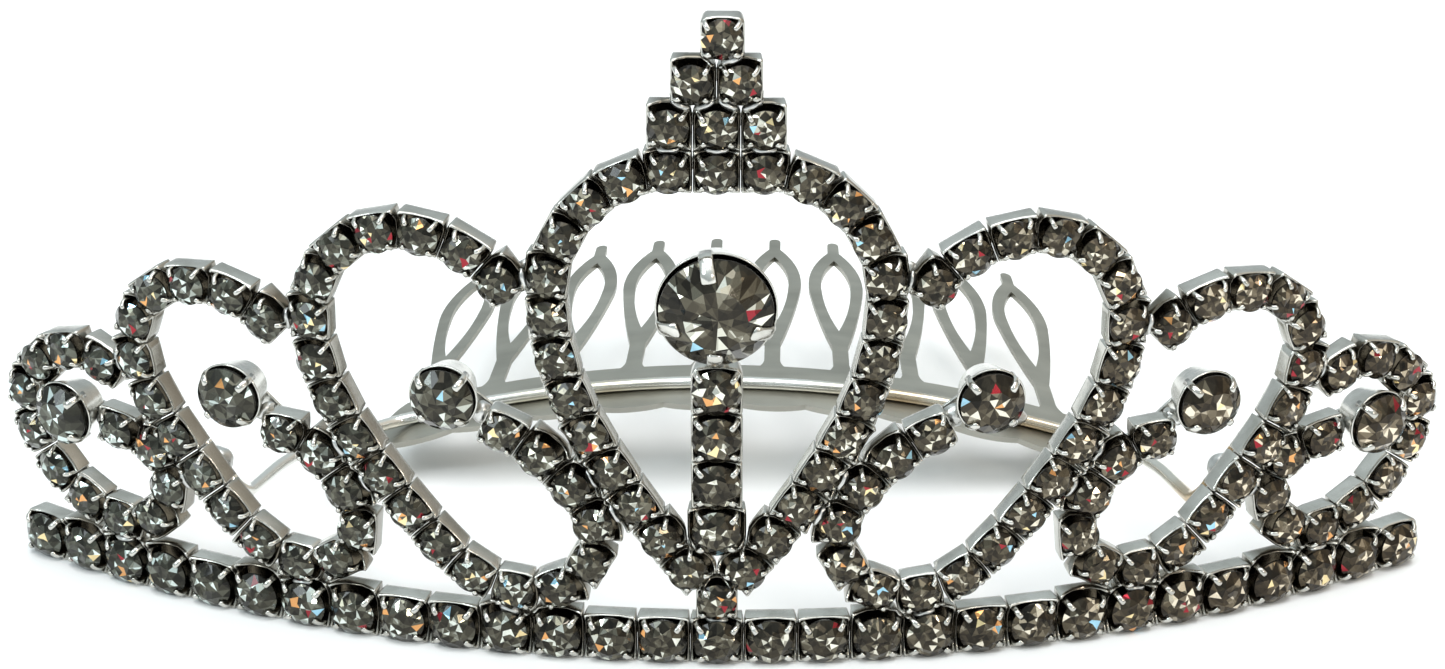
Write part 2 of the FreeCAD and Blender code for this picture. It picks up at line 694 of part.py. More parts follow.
soldered_feet = [soldered_cup] + mirrored([soldered_cup])
add_sub_part("wire_foot_solder", [foot_solder(place) for place in soldered_feet])
add_sub_part("comb_solder", [comb_solder(x) for x in (-COMB_SOLDER_AT, COMB_SOLDER_AT)])


# ---------------------------------------------------------------- checks and export

doc.recompute()
for item in doc.Objects:
    if "Invalid" in item.State or "Error" in item.State:
        raise RuntimeError(f"{item.Label} failed to recompute: {item.State}")
for part in sub_parts:
    if part.Shape.isNull() or not part.Shape.isValid():
        raise RuntimeError(f"{part.Label} has no valid shape")

os.makedirs("parts", exist_ok=True)
for part in sub_parts:
    part.Shape.exportStep(f"parts/{part.Label}.step")
    print(f"{part.Label}: {len(part.Shape.Solids)} solids, {part.Shape.Volume:.1f} mm3")
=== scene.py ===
import math
import random

import bmesh
import bpy
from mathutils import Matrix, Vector, noise


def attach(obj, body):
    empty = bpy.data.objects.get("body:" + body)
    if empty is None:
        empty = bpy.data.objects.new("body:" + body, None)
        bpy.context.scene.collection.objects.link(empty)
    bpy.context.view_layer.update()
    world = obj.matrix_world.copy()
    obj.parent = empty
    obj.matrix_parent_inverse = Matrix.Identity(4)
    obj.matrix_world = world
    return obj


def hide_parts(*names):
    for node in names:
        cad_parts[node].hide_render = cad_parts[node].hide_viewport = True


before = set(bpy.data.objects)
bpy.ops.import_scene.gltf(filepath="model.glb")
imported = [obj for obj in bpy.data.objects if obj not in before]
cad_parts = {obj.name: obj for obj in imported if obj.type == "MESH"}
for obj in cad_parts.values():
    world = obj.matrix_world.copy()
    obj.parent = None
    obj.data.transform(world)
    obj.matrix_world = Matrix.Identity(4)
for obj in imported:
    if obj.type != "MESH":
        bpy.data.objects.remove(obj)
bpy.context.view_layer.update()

MM = 0.001
UP = Vector((0, 0, 1))
BODY = "root"

# Sizes of cups, settings and crystals. The chains' crystals are a little wider than the packed
# ones, so that they fill their cups.
CUP_DEPTH = 2.2 * MM
SMALL_CUP = 3.75 * MM
LARGE_CUP = 4.6 * MM
SMALL_STONE = 3.62 * MM
LARGE_STONE = 4.42 * MM
CENTRE_STONE = 10.0 * MM
SCROLL_STONE = 5.8 * MM
CENTRE_SETTING = 10.7 * MM
SCROLL_SETTING = 6.3 * MM
SETTING_DEPTH = 3.3 * MM

LARGE_CHAINS = ("base_row", "centre_stem")
SCROLLS = [f"{hand}_{place}_scroll" for hand in ("left", "right")
           for place in ("inner", "middle", "outer")]
CHAINS = ["base_row", "centre_loop", "centre_stem", "finial"] + SCROLLS


# ---------------------------------------------------------------- reading the frame

MERGE_DISTANCE = 1e-6
FLAT_ANGLE = math.radians(1.0)
# How far a cup's wall may lean from its crystal's normal, as a cosine.
WALL_LEAN = 0.05


def packed_mesh(node, angle):
    """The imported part's mesh, with its flat faces whole again."""
    bm = bmesh.new()
    bm.from_mesh(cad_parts[node].data)
    bmesh.ops.remove_doubles(bm, verts=bm.verts, dist=MERGE_DISTANCE)
    bmesh.ops.dissolve_limit(bm, angle_limit=angle, verts=bm.verts, edges=bm.edges)
    return bm


def islands(node):
    """The node's separate solids, each a list of faces as (corners, normal, area)."""
    bm = packed_mesh(node, FLAT_ANGLE)
    bm.normal_update()
    bm.faces.ensure_lookup_table()
    seen = set()
    solids = []
    for start in bm.faces:
        if start.index in seen:
            continue
        seen.add(start.index)
        queue = [start]
        faces = []
        while queue:
            face = queue.pop()
            faces.append(face)
            for edge in face.edges:
                for other in edge.link_faces:
                    if other.index not in seen:
                        seen.add(other.index)
                        queue.append(other)
        solids.append([([v.co.copy() for v in face.verts], face.normal.copy(),
                        face.calc_area()) for face in faces])
    bm.free()
    return solids


def corners_of(faces):
    return [point for corners, normal, area in faces for point in corners]


def mean(points):
    return sum(points, Vector()) / len(points)


def crystal_places(node):
    """Each crystal's table: its centre, outward normal, direction to a corner, and its sides."""
    places = []
    for faces in islands(node):
        corners, normal, area = max(faces, key=lambda face: (len(face[0]), face[2]))
        centre = mean(corners)
        spoke = (corners[0] - centre).normalized()
        places.append((centre, normal.normalized(), spoke, len(corners)))
    return places


def across(normal):
    """Directions in a crystal's plane: horizontal and up."""
    x_axis = UP.cross(normal).normalized()
    return x_axis, normal.cross(x_axis).normalized()


class Seat:
    """Where one crystal sits: its table's centre, its axes, and its cup's width.

    walls are the planes where the cup is pressed against its neighbours, as (cosine, sine,
    distance). halves are the distances to its four sides, and joined says which of them meet
    a neighbour.
    """

    def __init__(self, centre, normal, x_axis, width):
        self.centre = centre
        self.normal = normal
        self.x_axis = x_axis
        self.y_axis = normal.cross(x_axis).normalized()
        self.width = width
        self.walls = []
        self.halves = [width / 2] * 4
        self.joined = [False] * 4

    def world(self, x, y, z):
        """The point at (x, y) in the crystal's plane and z in front of its table."""
        return self.centre + self.x_axis * x + self.y_axis * y + self.normal * z

    def in_plane(self, point):
        """The step from this seat to a point, with none of it along the normal."""
        step = point - self.centre
        return step - self.normal * step.dot(self.normal)

    def side_directions(self):
        angles = [side * math.pi / 2 for side in range(4)]
        return [self.x_axis * math.cos(angle) + self.y_axis * math.sin(angle)
                for angle in angles]

    def press(self, heading, distance):
        """Stop the cup at a plane across the heading, at a distance from its centre."""
        self.walls.append((heading.dot(self.x_axis), heading.dot(self.y_axis), distance))


def chain_seats(chain):
    """Seats of a chain's cups: a cup's turn comes from its walls, made exact by its crystal."""
    width = LARGE_CUP if chain in LARGE_CHAINS else SMALL_CUP
    crystals = crystal_places(chain + "_crystals")
    found = []
    for faces in islands(chain + "_cups"):
        middle = mean(corners_of(faces))
        centre, normal, spoke, sides = min(crystals, key=lambda c: (c[0] - middle).length)
        level, upright = across(normal)
        # Four equal walls: the turn is the mean of the walls' angles, each taken four times.
        total = 0j
        for corners, face_normal, area in faces:
            if abs(face_normal.dot(normal)) < WALL_LEAN:
                angle = math.atan2(face_normal.dot(upright), face_normal.dot(level))
                total += area * complex(math.cos(4 * angle), math.sin(4 * angle))
        turn = math.atan2(total.imag, total.real) / 4
        spoke_angle = math.atan2(spoke.dot(upright), spoke.dot(level))
        step = math.pi / sides
        turn = spoke_angle + step * round((turn - spoke_angle) / step)
        x_axis = level * math.cos(turn) + upright * math.sin(turn)
        found.append(Seat(centre, normal, x_axis, width))
    return found


seats = {chain: chain_seats(chain) for chain in CHAINS}
every_seat = [seat for group in seats.values() for seat in group]
# Chains that end at a round setting: the chain, the setting's crystal and the setting's radius.
setting_seats = [(scroll, scroll + "_end_crystal", SCROLL_SETTING / 2) for scroll in SCROLLS]
setting_seats.append(("centre_stem", "centre_crystal", CENTRE_SETTING / 2))

# Cups that are pushed together keep this much between them, and a side reaches out at most
# this much to meet its neighbour.
SQUEEZE_GAP = 0.05 * MM
MOST_REACH = 0.34 * MM
MOST_REACH_TO_SETTING = 2 * MOST_REACH
# A neighbour meets a side when it is this far ahead of it and no further than this aside, as
# parts of the two cups' widths. Turned cups need more reach, in proportion to the step aside.
AHEAD = 0.3
ASIDE = 0.38
TURN_REACH = 0.3
# How squarely a side must face a round setting to reach for it, as a cosine.
FACING = 0.8


def meet_neighbours(seat):
    """Cups are pushed together on their chain: a side reaches to its neighbour and stops there."""
    for other in every_seat:
        pair = seat.width + other.width
        if other is seat or (other.centre - seat.centre).length > pair / 2 * math.sqrt(2):
            continue
        step = seat.in_plane(other.centre)
        seat.press(step.normalized(), step.length * seat.width / pair - SQUEEZE_GAP)
        for side, out in enumerate(seat.side_directions()):
            ahead = step.dot(out)
            aside = (step - out * ahead).length
            if ahead > AHEAD * pair and aside < ASIDE * pair:
                slack = ahead * seat.width / pair - seat.width / 2 + aside * TURN_REACH
                grown = seat.width / 2 + min(max(slack, 0.0), MOST_REACH)
                seat.halves[side] = max(seat.halves[side], grown)
                seat.joined[side] = True


def meet_setting(seat, centre, radius):
    """The last cup of a chain reaches to the round setting that ends it."""
    step = seat.in_plane(centre)
    distance = step.length - radius - SQUEEZE_GAP
    if distance > seat.width / 2 + MOST_REACH_TO_SETTING:
        return
    heading = step.normalized()
    seat.press(heading, distance)
    for side, out in enumerate(seat.side_directions()):
        if heading.dot(out) > FACING:
            seat.halves[side] = seat.width / 2 + MOST_REACH_TO_SETTING
            seat.joined[side] = True


for seat in every_seat:
    meet_neighbours(seat)
for chain, crystal, radius in setting_seats:
    setting_centre = crystal_places(crystal)[0][0]
    for seat in seats[chain]:
        meet_setting(seat, setting_centre, radius)


# ---------------------------------------------------------------- mesh building

class Shell:
    """Collects one piece's points and faces, and the values painted on them.

    Shade is painted on points: how much painted shade darkens the plating. Reflections are painted
    on
    faces: how light a crystal's shard looks, and whether it shows a painted colour flash.
    """

    def __init__(self):
        self.points = []
        self.faces = []
        self.smooth = []
        self.reflection_tone = []
        self.hue = []
        self.painted_shade = []

    def add_points(self, points, painted_shade=0.0):
        first = len(self.points)
        self.points.extend(points)
        self.painted_shade.extend(painted_shade if isinstance(painted_shade, list) else [painted_shade] * len(points))
        return list(range(first, first + len(points)))

    def add_face(self, corners, smooth=False, reflection_tone=0.5, hue=0.5):
        self.faces.append(tuple(corners))
        self.smooth.append(smooth)
        self.reflection_tone.append(reflection_tone)
        self.hue.append(hue)

    def band(self, lower, upper):
        """A belt of faces between two rings with equally many points."""
        count = len(lower)
        for i in range(count):
            j = (i + 1) % count
            self.add_face((lower[i], lower[j], upper[j], upper[i]), True)

    def loft(self, rings, smooth_ends):
        """A closed skin through the rings, with a face over each end."""
        for lower, upper in zip(rings, rings[1:]):
            self.band(lower, upper)
        self.add_face(rings[0][::-1], smooth_ends)
        self.add_face(rings[-1], smooth_ends)

    def piece(self, name, node, material):
        mesh = bpy.data.meshes.new(name)
        mesh.from_pydata([tuple(p) for p in self.points], [], self.faces)
        mesh.polygons.foreach_set("use_smooth", self.smooth)
        for label, values in (("reflection_tone", self.reflection_tone), ("hue", self.hue)):
            mesh.attributes.new(label, "FLOAT", "FACE").data.foreach_set("value", values)
        mesh.attributes.new("painted_shade", "FLOAT", "POINT").data.foreach_set("value", self.painted_shade)
        mesh.materials.append(material)
        obj = bpy.data.objects.new(name, mesh)
        bpy.context.scene.collection.objects.link(obj)
        settle(obj, node)
        return obj


def settle(obj, node):
    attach(obj, BODY)
    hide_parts(node)


# ---------------------------------------------------------------- materials

def new_material(name):
    material = bpy.data.materials.new(name)
    material.use_nodes = True
    tree = material.node_tree
    return material, tree, tree.nodes["Principled BSDF"]


def add_node(tree, kind, **values):
    """A new node: in_Some_Name sets its input Some Name, any other keyword its property."""
    node = tree.nodes.new(kind)
    for key, value in values.items():
        if key.startswith("in_"):
            node.inputs[key.removeprefix("in_").replace("_", " ")].default_value = value
        else:
            setattr(node, key, value)
    return node


def add_math(tree, operation, source, constant, addend=None):
    """A Math or Vector Math node on a source and a constant, and an addend where it takes one."""
    vector = isinstance(constant, tuple)
    kind = "ShaderNodeVectorMath" if vector else "ShaderNodeMath"
    node = add_node(tree, kind, operation=operation)
    node.inputs[1].default_value = constant
    tree.links.new(source, node.inputs[0])
    if addend is not None:
        tree.links.new(addend, node.inputs[2])
    return node.outputs["Vector" if vector else "Value"]


def add_noise(tree, scale, detail=3.0, stretch=(1, 1, 1)):
    """Noise over the object's own coordinates, scale in features per metre."""
    coordinates = add_node(tree, "ShaderNodeTexCoord")
    mapping = add_node(tree, "ShaderNodeMapping")
    mapping.inputs["Scale"].default_value = stretch
    tree.links.new(coordinates.outputs["Object"], mapping.inputs["Vector"])
    pattern = add_node(tree, "ShaderNodeTexNoise", in_Scale=scale, in_Detail=detail)
    tree.links.new(mapping.outputs["Vector"], pattern.inputs["Vector"])
    return pattern


def add_ramp(tree, source, stops, constant=False):
    """A colour for each value of the source, from stops as (position, colour)."""
    ramp = add_node(tree, "ShaderNodeValToRGB")
    ramp.color_ramp.interpolation = "CONSTANT" if constant else "LINEAR"
    elements = ramp.color_ramp.elements
    while len(elements) < len(stops):
        elements.new(1.0)
    for element, (position, colour) in zip(elements, stops):
        element.position = position
        element.color = (*colour, 1.0)
    tree.links.new(source, ramp.inputs["Fac"])
    return ramp.outputs["Color"]


def add_mix(tree, factor, first, second, blend="MIX"):
    """A mix of two colours: each argument is a value or the output of a node."""
    mix = add_node(tree, "ShaderNodeMix", data_type="RGBA", blend_type=blend)
    first_input, second_input = [s for s in mix.inputs if s.type == "RGBA"]
    for socket, value in ((mix.inputs[0], factor), (first_input, first), (second_input, second)):
        if isinstance(value, bpy.types.NodeSocket):
            tree.links.new(value, socket)
        elif isinstance(value, tuple):
            socket.default_value = (*value, 1.0)
        else:
            socket.default_value = value
    return [s for s in mix.outputs if s.type == "RGBA"][0]


def add_bump(tree, shader, pattern, depth, strength):
    bump = add_node(tree, "ShaderNodeBump", in_Strength=strength, in_Distance=depth)
    tree.links.new(pattern.outputs["Fac"], bump.inputs["Height"])
    tree.links.new(bump.outputs["Normal"], shader.inputs["Normal"])


def finish_metal(tree, shader, base, grain, rough):
    """Bare metal: its colour, and a roughness that follows the grain."""
    shader.inputs["Metallic"].default_value = 1.0
    tree.links.new(base, shader.inputs["Base Color"])
    smoothest, roughest = rough
    gloss = add_node(tree, "ShaderNodeMapRange", in_To_Min=smoothest, in_To_Max=roughest)
    tree.links.new(grain.outputs["Fac"], gloss.inputs["Value"])
    tree.links.new(gloss.outputs["Result"], shader.inputs["Roughness"])


def plated_metal(name, colour, tarnish, shade_colour, rough):
    """Plated brass: bright, a little uneven, and darkened where shade is painted."""
    material, tree, shader = new_material(name)
    cloud = add_noise(tree, 260.0, 4.0)
    speckle = add_noise(tree, 1900.0, 3.0)
    plating = add_ramp(tree, cloud.outputs["Fac"], [(0.36, tarnish), (0.62, colour)])
    # Painted shade: where shade is painted on points, the plating turns towards the dark shade
    # colour.
    shade_mask = add_node(tree, "ShaderNodeAttribute", attribute_name="painted_shade")
    base = add_mix(tree, shade_mask.outputs["Fac"], plating, shade_colour)
    finish_metal(tree, shader, base, speckle, rough)
    add_bump(tree, shader, speckle, depth=0.03 * MM, strength=0.5)
    return material


# Painted reflections: greys of the foil behind a shard, from its darkest to a clear reflection.
REFLECTION_GREYS = [
    (0.0, (0.013, 0.011, 0.0085)),
    (0.20, (0.025, 0.021, 0.016)),
    (0.42, (0.050, 0.043, 0.033)),
    (0.62, (0.092, 0.082, 0.064)),
    (0.80, (0.18, 0.168, 0.142)),
    (0.93, (0.78, 0.78, 0.76))]
# Painted colour flashes: orange, red, blue and gold, each from its share of the flashing hues.
FLASH_COLOURS = [
    (0.0, (0.74, 0.36, 0.13)),
    (0.30, (0.30, 0.02, 0.03)),
    (0.50, (0.35, 0.62, 0.78)),
    (0.75, (0.88, 0.70, 0.38))]
# Painted light: the crystals are tinted cool on the tiara's left side and warm on its right side.
PAINTED_COOL_LIGHT = (1.02, 1.18, 1.18)
PAINTED_WARM_LIGHT = (1.06, 0.92, 0.73)
CAST_FROM = -60 * MM
CAST_TO = 50 * MM
# How far the fine shards inside a facet differ from it in painted reflection tone and in tilt.
SHARD_CONTRAST = 0.34
SHARD_TILT = 0.55


def foiled_glass(name, flashing, shard_scale):
    """Foil-backed cut glass: painted reflections as dark and light shards, a few painted coloured
    flashes, a clear hard gloss.

    Faces whose hue is below flashing show a painted colour flash.
    """
    material, tree, shader = new_material(name)
    shader.inputs["Metallic"].default_value = 0.9
    shader.inputs["Roughness"].default_value = 0.09
    shader.inputs["Coat Weight"].default_value = 0.3
    shader.inputs["Coat Roughness"].default_value = 0.02
    coordinates = add_node(tree, "ShaderNodeTexCoord")
    shards = add_node(tree, "ShaderNodeTexVoronoi", in_Scale=shard_scale, in_Randomness=1.0)
    tree.links.new(coordinates.outputs["Object"], shards.inputs["Vector"])

    # Painted reflections: each face's tone, varied by the shards, picks a grey from the ramp.
    reflection_tone = add_node(tree, "ShaderNodeAttribute", attribute_name="reflection_tone")
    shard_colour = add_node(tree, "ShaderNodeSeparateColor")
    tree.links.new(shards.outputs["Color"], shard_colour.inputs["Color"])
    lowest = add_math(tree, "SUBTRACT", reflection_tone.outputs["Fac"], SHARD_CONTRAST / 2)
    level = add_math(tree, "MULTIPLY_ADD", shard_colour.outputs["Red"], SHARD_CONTRAST, lowest)
    greys = add_ramp(tree, level, REFLECTION_GREYS)

    # Painted light: a cool tint towards the left and a warm tint towards the right.
    place = add_node(tree, "ShaderNodeSeparateXYZ")
    tree.links.new(coordinates.outputs["Object"], place.inputs["Vector"])
    side = add_node(tree, "ShaderNodeMapRange", in_From_Min=CAST_FROM, in_From_Max=CAST_TO)
    tree.links.new(place.outputs["X"], side.inputs["Value"])
    painted_light = add_mix(tree, side.outputs["Result"], PAINTED_COOL_LIGHT, PAINTED_WARM_LIGHT)
    greys = add_mix(tree, 1.0, greys, painted_light, "MULTIPLY")

    # Painted colour flashes, on faces whose hue is below flashing.
    hue = add_node(tree, "ShaderNodeAttribute", attribute_name="hue")
    stops = [(flashing * share, colour) for share, colour in FLASH_COLOURS]
    colours = add_ramp(tree, hue.outputs["Fac"], stops, constant=True)
    flash = add_math(tree, "LESS_THAN", hue.outputs["Fac"], flashing)
    base = add_mix(tree, flash, greys, colours)
    tree.links.new(base, shader.inputs["Base Color"])

    geometry = add_node(tree, "ShaderNodeNewGeometry")
    centred = add_math(tree, "SUBTRACT", shards.outputs["Color"], (0.5, 0.5, 0.5))
    tilted = add_math(tree, "MULTIPLY_ADD", centred, (SHARD_TILT,) * 3,
                      geometry.outputs["Normal"])
    unit = add_node(tree, "ShaderNodeVectorMath", operation="NORMALIZE")
    tree.links.new(tilted, unit.inputs[0])
    tree.links.new(unit.outputs["Vector"], shader.inputs["Normal"])
    return material


def satin_sheet(name):
    """Stamped steel sheet with a tumbled satin finish and faint rolling streaks."""
    material, tree, shader = new_material(name)
    cloud = add_noise(tree, 120.0, 3.0)
    streaks = add_noise(tree, 600.0, 4.0, stretch=(0.12, 1.0, 1.0))
    grain = add_noise(tree, 3800.0, 2.0)
    plate = add_ramp(tree, cloud.outputs["Fac"], [(0.32, (0.35, 0.342, 0.300)),
                                                  (0.68, (0.44, 0.431, 0.384))])
    shade = add_ramp(tree, streaks.outputs["Fac"], [(0.3, (0.86, 0.86, 0.86)),
                                                    (0.7, (1.0, 1.0, 1.0))])
    base = add_mix(tree, 1.0, plate, shade, "MULTIPLY")
    finish_metal(tree, shader, base, streaks, rough=(0.34, 0.5))
    add_bump(tree, shader, grain, depth=0.02 * MM, strength=0.5)
    return material


def drawn_wire(name):
    """Drawn wire: bright, with fine lines along it, and browner towards its right side."""
    material, tree, shader = new_material(name)
    lines = add_noise(tree, 2600.0, 2.0, stretch=(0.06, 1.0, 1.0))
    brown_noise = add_noise(tree, 70.0, 3.0)
    coordinates = add_node(tree, "ShaderNodeTexCoord")
    place = add_node(tree, "ShaderNodeSeparateXYZ")
    tree.links.new(coordinates.outputs["Object"], place.inputs["Vector"])
    # Browner towards the right: the x position is added to the noise.
    spread = add_math(tree, "MULTIPLY_ADD", place.outputs["X"], 5.0, brown_noise.outputs["Fac"])
    base = add_ramp(tree, spread, [(0.45, (0.82, 0.81, 0.77)),
                                   (0.60, (0.74, 0.70, 0.60)),
                                   (0.78, (0.55, 0.40, 0.24))])
    finish_metal(tree, shader, base, lines, rough=(0.12, 0.26))
    add_bump(tree, shader, lines, depth=0.02 * MM, strength=0.4)
    return material


def solder_metal(name):
    """Solder: a duller, pale grey metal with a wavy skin."""
    material, tree, shader = new_material(name)
    waves = add_noise(tree, 900.0, 3.0)
    base = add_ramp(tree, waves.outputs["Fac"], [(0.34, (0.46, 0.46, 0.44)),
                                                 (0.66, (0.72, 0.72, 0.70))])
    finish_metal(tree, shader, base, waves, rough=(0.2, 0.42))
    add_bump(tree, shader, waves, depth=0.08 * MM, strength=0.8)
    return material


cup_metal = plated_metal("plated_cup_metal", colour=(0.65, 0.64, 0.60),
                         tarnish=(0.48, 0.47, 0.43), shade_colour=(0.125, 0.106, 0.076),
                         rough=(0.14, 0.30))
bezel_metal = plated_metal("plated_setting_metal", colour=(0.70, 0.69, 0.65),
                           tarnish=(0.52, 0.51, 0.47), shade_colour=(0.085, 0.078, 0.065),
                           rough=(0.12, 0.26))
link_metal = plated_metal("plated_link_metal", colour=(0.74, 0.735, 0.70),
                          tarnish=(0.55, 0.545, 0.51), shade_colour=(0.05, 0.048, 0.045),
                          rough=(0.18, 0.32))
chain_glass = foiled_glass("chain_crystal_foil", flashing=0.026, shard_scale=1300.0)
large_glass = foiled_glass("large_crystal_foil", flashing=0.03, shard_scale=800.0)
comb_steel = satin_sheet("comb_satin_steel")
wire_steel = drawn_wire("drawn_wire_steel")
solder_tin = solder_metal("tin_solder")


# ---------------------------------------------------------------- crystals

# Proportions of a brilliant: heights as parts of its diameter, and the radii of its table and
# its stars as parts of its own.
CROWN = 0.17
GIRDLE = 0.05
PAVILION = 0.38
TABLE = 0.56
STAR = 0.80
# The table is broken into shards from a heart, which is off its middle, through a core. Both are
# parts of its radius. The core wobbles by a part of the angle between two of its corners.
HEART_DRIFT = 0.1
CORE = 0.52
CORE_WOBBLE = 0.42
# How many corners the tables have.
CHAIN_SIDES = 8
SCROLL_SIDES = 10
CENTRE_SIDES = 16

# Painted reflections: mostly dark shards, some grey, a few bright: chance up to which, then lowest
# and highest tone.
TONES = [(0.56, 0.10, 0.46), (0.86, 0.46, 0.72), (1.0, 0.74, 1.0)]
# Painted reflections: star facets a little lighter, rim facets a little darker, girdle and
# pavilion dark.
STAR_LIFT = 0.04
RIM_LIFT = -0.05
GIRDLE_TONE = 0.15
PAVILION_TONE = 0.3
# Some crystals have one large painted flash: white, blue, gold or orange. A plain hue adds no
# colour.
FLASH_CHANCE = 0.22
PLAIN_HUE = 0.9
FLASH_HUES = (PLAIN_HUE, 0.015, 0.016, 0.022, 0.004)


def random_tone(draw):
    pick = draw.random()
    lowest, highest = next(span for chance, *span in TONES if pick < chance)
    return draw.uniform(lowest, highest)


# A shard with a painted reflection tone, or a painted bright flash.
def add_shard(shell, draw, corners, lift=0.0, flash=None):
    reflection_tone = min(1.0, random_tone(draw) + lift)
    hue = draw.random()
    if flash is not None:
        reflection_tone, hue = 1.0, flash
    shell.add_face(corners, False, reflection_tone, hue)


def brilliant(shell, seat, diameter, sides, draw):
    """A round brilliant, its table and crown broken into the shards seen through it, each with a
    painted reflection.
    """
    radius = diameter / 2
    table = TABLE * radius
    star_radius = STAR * radius
    crown = CROWN * diameter
    girdle = GIRDLE * diameter
    rim_sides = 4 * sides
    core_wobble = CORE_WOBBLE * 2 * math.pi / sides

    def ring(rho, z, count, half=0.0, wobble=0.0):
        points = []
        for i in range(count):
            angle = 2 * math.pi * (i + half) / count + wobble * draw.uniform(-1, 1)
            reach = rho * (1 + wobble * draw.uniform(-1, 1))
            points.append(seat.world(reach * math.cos(angle), reach * math.sin(angle), z))
        return shell.add_points(points)

    drift = [draw.uniform(-HEART_DRIFT, HEART_DRIFT) * table for axis in range(2)]
    heart = shell.add_points([seat.world(*drift, 0)])[0]
    core = ring(CORE * table, 0, sides, 0.5, core_wobble)
    edge = ring(table, 0, sides)
    slope = (star_radius * math.cos(math.pi / sides) - table) / (radius - table)
    star = ring(star_radius, -slope * crown, sides, 0.5)
    rim = ring(radius, -crown, rim_sides)
    low_rim = ring(radius, -crown - girdle, rim_sides)
    culet = shell.add_points([seat.world(0, 0, -crown - girdle - PAVILION * diameter)])[0]
    flashes = draw.random() < FLASH_CHANCE
    flash_side = draw.randrange(sides)
    flash_hue = draw.choice(FLASH_HUES)
    for i in range(sides):
        j = (i + 1) % sides
        h = (i - 1) % sides
        flash = flash_hue if flashes and i == flash_side else None
        next_flash = flash_hue if flashes and h == flash_side else None
        quarter = [rim[(4 * i + k) % rim_sides] for k in range(5)]
        add_shard(shell, draw, (heart, core[i], core[j]), 0.0, flash)
        add_shard(shell, draw, (core[h], edge[i], core[i]), 0.0, next_flash)
        add_shard(shell, draw, (core[i], edge[i], edge[j]), 0.0, flash)
        add_shard(shell, draw, (edge[i], star[i], edge[j]), STAR_LIFT)
        add_shard(shell, draw, (edge[i], star[h], quarter[0]))
        add_shard(shell, draw, (edge[i], quarter[0], star[i]))
        add_shard(shell, draw, (star[i], quarter[0], quarter[1], quarter[2]), RIM_LIFT)
        add_shard(shell, draw, (star[i], quarter[2], quarter[3], quarter[4]), RIM_LIFT)
    for i in range(rim_sides):
        j = (i + 1) % rim_sides
        shell.add_face((rim[i], low_rim[i], low_rim[j], rim[j]), True, GIRDLE_TONE,
                       PLAIN_HUE)
    for i in range(sides):
        quarter = [low_rim[(4 * i + k) % rim_sides] for k in range(5)]
        shell.add_face((quarter[0], culet, *reversed(quarter[1:])), False, PAVILION_TONE,
                       PLAIN_HUE)


def chain_crystals(chain):
    draw = random.Random("crystals " + chain)
    shell = Shell()
    diameter = LARGE_STONE if chain in LARGE_CHAINS else SMALL_STONE
    for seat in seats[chain]:
        brilliant(shell, seat, diameter, CHAIN_SIDES, draw)
    node = chain + "_crystals"
    return shell.piece(node + "_cut", node, chain_glass)


def single_seat(node):
    centre, normal, spoke, sides = crystal_places(node)[0]
    level, upright = across(normal)
    return Seat(centre, normal, level, width=0.0)


def large_crystal(node, diameter, sides):
    shell = Shell()
    brilliant(shell, single_seat(node), diameter, sides, random.Random("large " + node))
    return shell.piece(node + "_cut", node, large_glass)


# ---------------------------------------------------------------- cups

CORNER_POINTS = 5
SIDE_POINTS = 5
# Corner radii, as parts of the cup's half width, and the least radius inside the cup.
CORNER = 0.36
JOINED_CORNER = 0.15
LEAST_CORNER = 0.04 * MM
# A cup narrows towards its back, over most of its depth.
BACK_TAPER = 0.07
TAPER_DEPTH = 0.8 * CUP_DEPTH
# The rim dips between the claws, more where two cups meet.
RIM_DIP = 0.26 * MM
JOINED_DIP = 0.75 * MM
DIP_SPREAD = (0.75, 1.15)
DIP_STEEPNESS = 2.2
# Painted shade on the plating: on joined sides, between two cups, and on sides that face right.
JOINED_SHADE = 0.85
JOINED_STEEPNESS = 2.5
RIGHT_SIDE_SHADE = 0.75
TABLE_ABOVE_RIM = {SMALL_CUP: 0.93 * MM, LARGE_CUP: 1.08 * MM}
# Rings of a cup's section: inset from the wall and height from the back in millimetres, share
# of the rim's dip, and how much shade is painted on the plating there, most inside the cup.
CUP_SECTION = [
    (0.55, 0.0, 0, 0.35), (0.14, 0.0, 0, 0.2), (0.03, 0.12, 0, 0.05), (0.0, 0.45, 0, 0.0),
    (0.0, 1.75, 0.6, 0.0), (0.02, 2.06, 1, 0.0), (0.09, 2.17, 1, 0.0), (0.16, 2.2, 1, 0.0),
    (0.24, 2.15, 1, 0.1), (0.30, 2.0, 1, 0.7), (0.32, 1.6, 0.6, 1.0), (0.40, 0.4, 0, 1.0)]


def rounded_square(halves, corners):
    """Outline of a cup: for each point, its place, its outward direction, and how far along
    its side it is, from -1 to 1."""
    points = []
    for quarter in range(4):
        base = quarter * math.pi / 2
        cosine, sine = math.cos(base), math.sin(base)
        out = halves[quarter]
        corner = corners[quarter]
        left = halves[(quarter + 1) % 4] - corner
        right = corners[quarter - 1] - halves[quarter - 1]
        outline = []
        for k in range(SIDE_POINTS):
            share = (k + 0.5) / SIDE_POINTS
            outline.append((out, right + (left - right) * share, 0.0, 2 * share - 1))
        for k in range(CORNER_POINTS):
            angle = math.pi / 2 * (k + 0.5) / CORNER_POINTS
            outline.append((out - corner + corner * math.cos(angle),
                            left + corner * math.sin(angle), angle, 1.0))
        for x, y, angle, place in outline:
            points.append((x * cosine - y * sine, x * sine + y * cosine,
                           math.cos(base + angle), math.sin(base + angle), place))
    return points


def held_in(seat, x, y, inset):
    """A point moved back behind the planes where the cup is pressed against its neighbours."""
    for cosine, sine, distance in seat.walls:
        beyond = x * cosine + y * sine - (distance - inset)
        if beyond > 0:
            x -= beyond * cosine
            y -= beyond * sine
    return x, y


